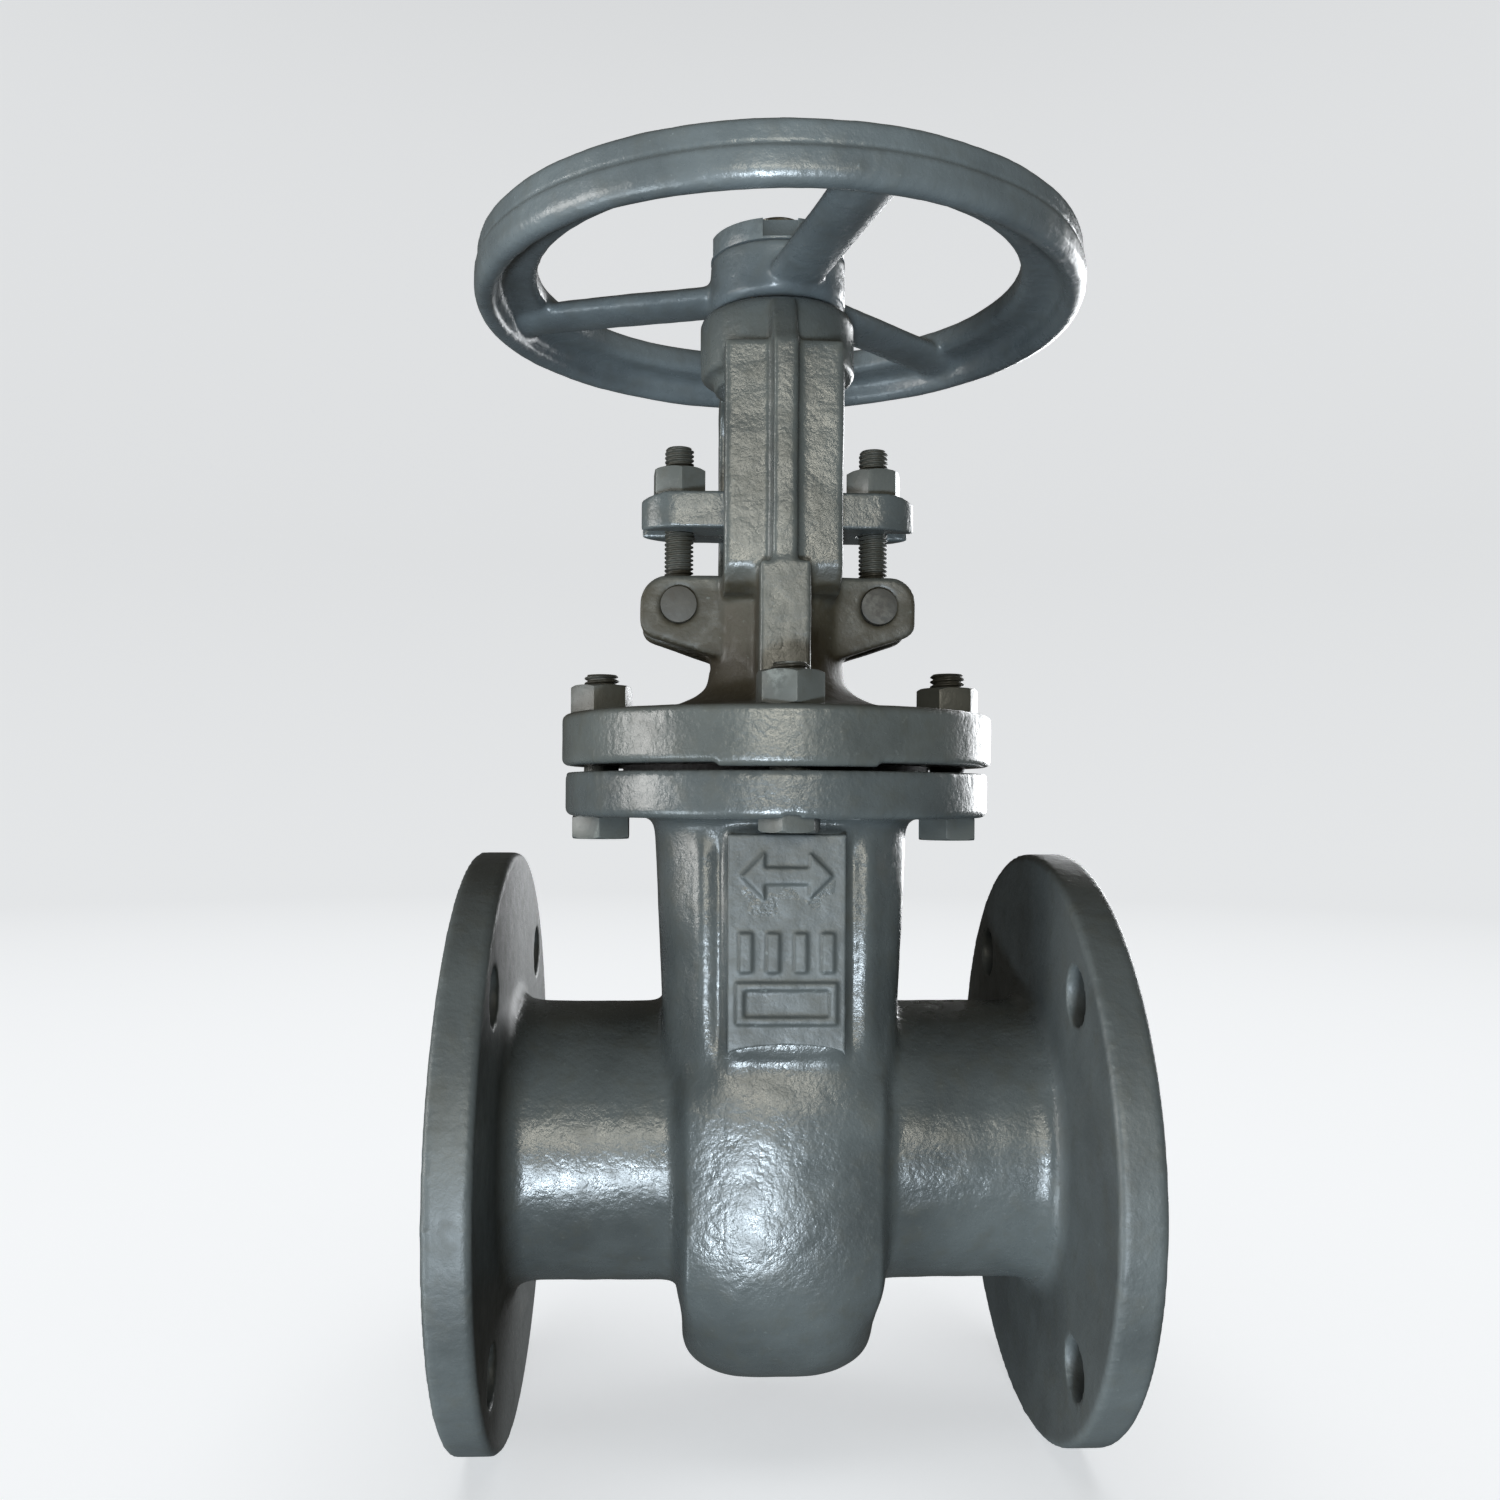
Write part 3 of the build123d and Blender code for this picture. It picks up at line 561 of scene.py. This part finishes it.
def crowned_belly(piece, crown, half_width, narrow):
    """A broad belly: crowned by an amount at its half width, and narrower underneath.

    Its profile is a curve through the casting's own middle line, and inside surfaces stay.
    """
    points = points_of(piece.data)
    across = points[:, 0] - AXIS_X
    out = np.abs(across)
    y, z = points[:, 1], points[:, 2]
    radius = np.hypot(y, z)
    turn = np.arctan2(z, np.abs(y))
    normals = normals_of(piece.data)
    rising = (normals[:, 1] * y + normals[:, 2] * z) / np.maximum(radius, 1 * MM)
    outside = (rising > -0.05) & (normals[:, 0] * np.sign(across) > -0.2) & (radius > 43.5 * MM)
    spine = (out < 3 * MM) & (rising > 0.7) & (radius > 50 * MM) & (z < 34 * MM)
    middle_line = np.polyfit(turn[spine], radius[spine], 5)
    turn_on_line = np.clip(turn, turn[spine].min(), turn[spine].max())
    target = np.polyval(middle_line, turn_on_line) - crown * (out / half_width) ** 2
    below_neck = 1 - smoothstep(16 * MM, 40 * MM, z)
    at_belly = below_neck * smoothstep(-58 * MM, -22 * MM, z) * outside
    share = at_belly * (1 - smoothstep(29.5 * MM, 34.5 * MM, out))
    underneath = 1 - smoothstep(-56 * MM, -30 * MM, z)
    off_stubs = 1 - smoothstep(37 * MM, 48 * MM, out)
    points[:, 0] -= narrow * underneath * (across / half_width) * off_stubs * outside
    scale = 1 + share * (target - radius) / np.maximum(radius, 1 * MM)
    points[:, 1] *= scale
    points[:, 2] *= scale
    set_points(piece.data, points)


def make_body_casting():
    """Body: soft fillets round the belly and neck, with the machined flanges kept true."""
    piece = remeshed(welded_copy("body", "body_casting"), 1.25 * MM)
    points = points_of(piece.data)
    x = np.abs(points[:, 0] - AXIS_X)
    y, z = points[:, 1], points[:, 2]
    pipe_r = np.hypot(y, z)
    neck_r = np.hypot(x, y)
    off_ends = 1 - smoothstep(83 * MM, 88 * MM, x)
    off_cover_rim = 1 - smoothstep(106 * MM, 110 * MM, z) * smoothstep(56 * MM, 62 * MM, neck_r)
    off_cover = off_cover_rim * (1 - smoothstep(110 * MM, 113 * MM, z))
    off_bore = smoothstep(41 * MM, 44 * MM, np.where(z < 46 * MM, pipe_r, 1.0))
    crisp = 0.80 * (1 - smoothstep(14 * MM, 34 * MM, z)) * smoothstep(46 * MM, 49 * MM, pipe_r)
    soft = off_ends * off_cover * off_bore * (1 - crisp)
    normals = normals_of(piece.data)
    outward = normals[:, 0] * (points[:, 0] - AXIS_X) + normals[:, 1] * y
    faces_stem = (outward / np.maximum(neck_r, 1 * MM) < -0.15) & (neck_r < 62 * MM)
    cavity = faces_stem | ((z < -30 * MM) & (normals[:, 2] > 0.3))
    soft[cavity] = 0
    relaxed(piece, 14, np.where(cavity, 0, np.clip(0.12 + 0.88 * soft, 0.12, 1.0)), 0.45)
    crowned_belly(piece, 4.2 * MM, 33 * MM, 2.2 * MM)
    relaxed(piece, 3, soft, 0.45)
    front_shoulders(piece)
    lumpy(piece, 0.30 * MM, 34 * MM, 3, np.clip(3 * soft, 0, 1))
    lumpy(piece, 0.12 * MM, 7 * MM, 5, np.where(cavity, 0, np.clip(0.25 + 3 * soft, 0, 1)))
    cover_r = 72 * MM
    cover_thickness = 14.5 * MM
    edge_rounded(piece, cover_r, COVER_FACE_Z - cover_thickness, 2.6 * MM, -1)
    edge_rounded(piece, cover_r, COVER_FACE_Z, 1.2 * MM, 1)
    finished(piece, "body", BODY_PAINT)
    piece.data.materials.append(MATT_PAINT)
    line_flange_x = 86 * MM
    for face in piece.data.polygons:
        if abs(face.center.x - AXIS_X) > line_flange_x:
            face.material_index = 1


def make_rating_pad():
    """Raised pad on the neck, with plain cast marks: a two-way arrow, four bars and an empty frame."""
    face_y, back_y = -52.6 * MM, -45 * MM
    half_width = 18.2 * MM
    top_z = 105.8 * MM
    turns = np.linspace(math.pi, 0, 17)
    bottom = [(half_width * math.cos(turn), (38 + 3.2 * math.sin(turn)) * MM) for turn in turns]
    slab = bottom + [(half_width, top_z), (-half_width, top_z)]
    parts = [extruded("pad_slab", slab, face_y, back_y)]
    mark_y = face_y - 0.95 * MM
    root_y = face_y + 1 * MM
    arrow_top = [(-14, 93), (-7, 100), (-7, 95.4), (7, 95.4), (7, 100), (14, 93)]
    arrow_bottom = [(7, 86), (7, 90.6), (-7, 90.6), (-7, 86)]
    arrow = [(x * MM, z * MM) for x, z in arrow_top + arrow_bottom]
    parts.append(extruded("arrow", arrow, mark_y, root_y))
    for x in (-12.6, -4.2, 4.2, 12.6):
        bar = box_outline((x - 1.9) * MM, (x + 1.9) * MM, 63.5 * MM, 75.5 * MM)
        parts.append(extruded("bar", bar, mark_y, root_y))
    frame_bars = [
        (-15.5, 15.5, 58.2, 60.4),
        (-15.5, 15.5, 47.6, 49.8),
        (-15.5, -13.2, 48, 60),
        (13.2, 15.5, 48, 60),
    ]
    for sides in frame_bars:
        outline = box_outline(*(v * MM for v in sides))
        parts.append(extruded("frame_bar", outline, mark_y, root_y))
    pad = remeshed(joined("rating_pad", parts), 0.42 * MM)
    relaxed(pad, 5, np.ones(len(pad.data.vertices)), 0.8)
    lumpy(pad, 0.16 * MM, 5 * MM, 7, 1.0)
    added(pad, "body", MATT_PAINT)


def front_lip(piece, low_z):
    """The front of the bonnet flange hangs a little lower than the rest of its edge."""
    points = points_of(piece.data)
    x = points[:, 0] - AXIS_X
    sector = smoothstep(-23 * MM, -21 * MM, x) * (1 - smoothstep(25 * MM, 27 * MM, x))
    rim = smoothstep(62 * MM, 64 * MM, -points[:, 1])
    low = 1 - smoothstep(low_z + 1 * MM, low_z + 5 * MM, points[:, 2])
    points[:, 2] -= 1.2 * MM * sector * rim * low
    set_points(piece.data, points)


def make_bonnet_casting():
    """Bonnet and yoke: filleted ribs, a soft neck, and ears with worn edges."""
    piece = remeshed(welded_copy("bonnet", "bonnet_casting"), 0.9 * MM)
    points = points_of(piece.data)
    radius = np.hypot(points[:, 0] - AXIS_X, points[:, 1])
    z = points[:, 2]
    flange = (1 - smoothstep(143 * MM, 146 * MM, z)) + smoothstep(50 * MM, 56 * MM, radius)
    bores = (1 - smoothstep(21 * MM, 23 * MM, radius)) * smoothstep(255 * MM, 260 * MM, z)
    weights = np.clip(1.0 - 0.85 * flange - 0.8 * bores, 0.15, 1.0)
    relaxed(piece, 11, weights, 0.30)
    lumpy(piece, 0.30 * MM, 22 * MM, 11, weights)
    lumpy(piece, 0.12 * MM, 6 * MM, 12, 0.3 + 0.7 * weights)
    low_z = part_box("bonnet")[0].z
    flange_r = 73.2 * MM
    flange_thickness = 17.1 * MM
    edge_rounded(piece, flange_r, low_z, 2.2 * MM, -1)
    edge_rounded(piece, flange_r, low_z + flange_thickness, 2.0 * MM, 1)
    front_lip(piece, low_z)
    finished(piece, "bonnet", BONNET_PAINT)


def make_wheel_casting():
    """Handwheel: filleted spoke roots, and a soft rim with a stepped side and a moulding seam."""
    piece = remeshed(welded_copy("handwheel", "handwheel_casting"), 0.8 * MM)
    points = points_of(piece.data)
    radius = np.hypot(points[:, 0] - AXIS_X, points[:, 1])
    roots = smoothstep(14.6 * MM, 16 * MM, radius)
    weights = 0.15 + 0.85 * roots
    step_z = 292 * MM
    near_step = np.exp(-(((points[:, 2] - step_z) / (2.2 * MM)) ** 2))
    step = near_step * smoothstep(99 * MM, 101 * MM, radius)
    relaxed(piece, 12, weights * (1 - 0.9 * step), 0.35)
    points = points_of(piece.data)
    seam_z = 292.2 * MM
    near_seam = np.exp(-(((points[:, 2] - seam_z) / (0.75 * MM)) ** 2))
    seam = near_seam * smoothstep(100 * MM, 101 * MM, radius)
    scale = 1 - seam * 0.5 * MM / radius
    points[:, :2] = (points[:, :2] - (AXIS_X, 0)) * scale[:, None] + (AXIS_X, 0)
    set_points(piece.data, points)
    lumpy(piece, 0.30 * MM, 26 * MM, 21, weights)
    lumpy(piece, 0.10 * MM, 5 * MM, 22, weights)
    finished(piece, "handwheel", WHEEL_PAINT)


def make_gland_casting():
    """Gland flange with rounded edges."""
    piece = remeshed(welded_copy("gland_flange", "gland_flange_casting"), 0.55 * MM)
    weights = np.full(len(piece.data.vertices), 0.8)
    relaxed(piece, 8, weights, 0.6)
    lumpy(piece, 0.10 * MM, 6 * MM, 31, weights)
    finished(piece, "gland_flange", BODY_PAINT)


make_body_casting()
make_rating_pad()
make_bonnet_casting()
make_wheel_casting()
make_gland_casting()


# ---------------------------------------------------------------- turned and threaded pieces


def make_fasteners():
    """Cover bolts and nuts: hexagons with broken edges, and threaded ends as high as each bolt."""
    nut_low_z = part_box("bonnet_nuts")[0].z
    bolts = cut_above(welded_copy("bonnet_bolts", "bonnet_bolts_forged"), nut_low_z + 1 * MM)
    finished(bevelled(bolts, 0.4 * MM), "bonnet_bolts", FASTENER_PAINT, 35)
    nuts = welded_copy("bonnet_nuts", "bonnet_nuts_forged")
    finished(bevelled(nuts, 0.35 * MM), "bonnet_nuts", FASTENER_PAINT, 35)
    bolt_points = points_of(NODES["bonnet_bolts"].data)
    thread_low_z = nut_low_z + 0.8 * MM
    for index in range(4):
        angle = math.radians(90 * index)
        x = AXIS_X + COVER_BOLT_CIRCLE_R * math.cos(angle)
        y = COVER_BOLT_CIRCLE_R * math.sin(angle)
        near = np.hypot(bolt_points[:, 0] - x, bolt_points[:, 1] - y) < 8 * MM
        end_z = float(bolt_points[near, 2].max())
        name = f"bonnet_bolt_thread_{index + 1}"
        rod = thread(name, x, y, thread_low_z, end_z, 5.97 * MM, 1.75 * MM, 1.0 * MM)
        added(rod, "bonnet_bolts", THREAD_STEEL, 50)


def make_swing_bolt(side):
    """Eye of a swing bolt, its threaded rod and its nut."""
    node = f"eye_bolt_{side}"
    low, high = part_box(node)
    thread_length = 46 * MM
    thread_low = high.z - thread_length
    eye = cut_above(welded_copy(node, f"swing_bolt_eye_{side}"), thread_low + 0.2 * MM)
    finished(bevelled(eye, 1.2 * MM, 40, 3), node, FASTENER_PAINT, 35)
    x = (low.x + high.x) / 2
    name = f"swing_bolt_thread_{side}"
    rod = thread(name, x, 0, thread_low, high.z, 5 * MM, 1.5 * MM, 0.9 * MM)
    added(rod, node, THREAD_STEEL, 50)
    nut_node = f"gland_nut_{side}"
    nut = welded_copy(nut_node, f"gland_nut_{side}_forged")
    finished(bevelled(nut, 0.35 * MM), nut_node, FASTENER_PAINT, 35)


def make_stem():
    """Stem: smooth through the packing, with a left-hand trapezoidal thread above it."""
    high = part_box("stem")[1].z
    thread_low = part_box("packing_ring_4")[1].z + 1 * MM
    smooth = cut_above(welded_copy("stem", "stem_turned"), thread_low + 0.5 * MM)
    finished(smooth, "stem", STEM_STEEL, 30)
    radius, pitch, depth = 10 * MM, 4 * MM, 1.9 * MM
    rod = thread(
        "stem_thread", AXIS_X, 0, thread_low, high, radius, pitch, depth, hand=-1, segments=72, flat=0.30
    )
    added(rod, "stem", STEM_STEEL, 50)


def make_hinge_pin(side):
    """Hinge pin of a swing bolt, with rounded ends."""
    node = f"hinge_pin_{side}"
    pin = welded_copy(node, f"hinge_pin_{side}_turned")
    finished(bevelled(pin, 0.8 * MM, 40, 3), node, PIN_PAINT, 35)


def make_locknut():
    """Round notched nut above the handwheel's hub."""
    locknut = welded_copy("wheel_locknut", "wheel_locknut_turned")
    finished(bevelled(locknut, 0.5 * MM, 35), "wheel_locknut", WHEEL_PAINT, 35)


make_fasteners()
for side in ("left", "right"):
    make_swing_bolt(side)
    make_hinge_pin(side)
make_stem()
make_locknut()


# ---------------------------------------------------------------- stage, light and camera


def paper_material():
    """Pale paper with a glow of its own."""
    paper = bpy.data.materials.new("pale_paper")
    paper.use_nodes = True
    shader = paper.node_tree.nodes["Principled BSDF"]
    shader.inputs["Base Color"].default_value = (0.78, 0.80, 0.82, 1)
    shader.inputs["Roughness"].default_value = 0.95
    shader.inputs["Specular IOR Level"].default_value = 0.0
    shader.inputs["Emission Color"].default_value = (0.96, 0.98, 1.0, 1)
    shader.inputs["Emission Strength"].default_value = 0.60
    return paper


def make_stage():
    """A round floor that curves up into a wall; it neither blocks light nor sends any to the valve."""
    floor_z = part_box("body")[0].z
    floor_r, bend_r, wall_top = 2.4, 0.9, 4.0
    bend_steps = 12
    segments = 72
    profile = [(0.5, 0.0), (1.4, 0.0), (floor_r, 0.0)]
    for step in range(1, bend_steps + 1):
        angle = math.radians(90 * step / bend_steps)
        profile.append((floor_r + bend_r * math.sin(angle), bend_r - bend_r * math.cos(angle)))
    profile.append((floor_r + bend_r, wall_top))
    verts = [(AXIS_X, 0.0, floor_z)]
    for radius, height in profile:
        for k in range(segments):
            turn = 2 * math.pi * k / segments
            x = AXIS_X + radius * math.cos(turn)
            verts.append((x, radius * math.sin(turn), floor_z + height))
    faces = [(0, 1 + k, 1 + (k + 1) % segments) for k in range(segments)]
    for ring in range(len(profile) - 1):
        low, high = 1 + ring * segments, 1 + (ring + 1) * segments
        for k in range(segments):
            after = (k + 1) % segments
            faces.append((low + k, high + k, high + after, low + after))
    mesh = bpy.data.meshes.new("backdrop")
    mesh.from_pydata(verts, [], faces)
    mesh.update()
    mesh.shade_smooth()
    mesh.materials.append(paper_material())
    backdrop = new_object("backdrop", mesh)
    backdrop.visible_diffuse = False
    backdrop.visible_glossy = False
    backdrop.visible_shadow = False
    return backdrop


def area_light(name, place, aim_z, size, power, colour, lit):
    """A soft rectangular light for one collection, placed from the stem axis and aimed at it."""
    data = bpy.data.lights.new(name, "AREA")
    data.shape = "RECTANGLE"
    data.size, data.size_y = size
    data.energy = power
    data.color = colour
    light = bpy.data.objects.new(name, data)
    x, y, z = place
    light.location = (AXIS_X + x, y, z)
    light.visible_camera = False
    aim = Vector((AXIS_X, 0, aim_z)) - Vector((AXIS_X + x, y, z))
    light.rotation_euler = aim.to_track_quat("-Z", "Y").to_euler()
    light.light_linking.receiver_collection = lit
    bpy.context.scene.collection.objects.link(light)


def make_room():
    """A dim room round the paper."""
    world = bpy.data.worlds.new("studio")
    world.use_nodes = True
    background = world.node_tree.nodes["Background"]
    background.inputs["Color"].default_value = (1.0, 0.95, 0.85, 1)
    background.inputs["Strength"].default_value = 0.06
    bpy.context.scene.world = world


def make_lights(backdrop):
    """Lights for the valve, which leave the paper out, and a wash for the paper alone.

    The key is cool and low in front. A warmer light stands above it, two stand on the left, and
    one stands behind on the right.
    """
    paper = bpy.data.collections.new("paper")
    paper.objects.link(backdrop)
    all_but_paper = bpy.data.collections.new("all_but_paper")
    all_but_paper.objects.link(backdrop)
    all_but_paper.collection_objects[0].light_linking.link_state = "EXCLUDE"
    for light in (
        ("key", (-0.26, -2.3, -0.78), 0.06, (0.34, 0.30), 64, (0.78, 0.90, 1.0)),
        ("level_light", (-0.12, -2.5, 0.58), 0.06, (1.1, 0.6), 27, (1.0, 0.95, 0.80)),
        ("side_light", (-2.4, -0.62, 0.30), 0.25, (1.0, 1.0), 36, (1.0, 0.98, 0.94)),
        ("low_side_light", (-1.6, -0.9, -1.0), 0.35, (0.8, 0.8), 22, (0.80, 0.92, 1.0)),
        ("rear_light", (1.6, 1.9, 0.50), 0.12, (1.8, 1.4), 70, (0.96, 0.98, 1.0)),
    ):
        area_light(*light, all_but_paper)
    area_light("paper_wash", (0.0, 0.0, 3.0), 0, (3.0, 3.0), 46, (1.0, 1.0, 1.0), paper)


def make_camera():
    """The viewing point: close in front, a little left of the stem, with a wide lens."""
    data = bpy.data.cameras.new("view")
    data.sensor_width = 36.0
    data.lens = 30.79
    data.shift_x = 0.01297
    data.shift_y = 0.02564
    data.clip_start = 0.01
    camera = bpy.data.objects.new("view", data)
    right = Vector((0.999232, -0.038780, 0.005578))
    up = Vector((-0.005814, -0.005970, 0.999965))
    back = right.cross(up)
    turn = Matrix((right, up, back)).transposed().to_4x4()
    place = Vector((AXIS_X - 32.61 * MM, -443.77 * MM, 117.21 * MM))
    camera.matrix_world = Matrix.Translation(place) @ turn
    bpy.context.scene.collection.objects.link(camera)
    bpy.context.scene.camera = camera


make_lights(make_stage())
make_room()
bpy.context.scene.view_settings.view_transform = "Standard"
make_camera()
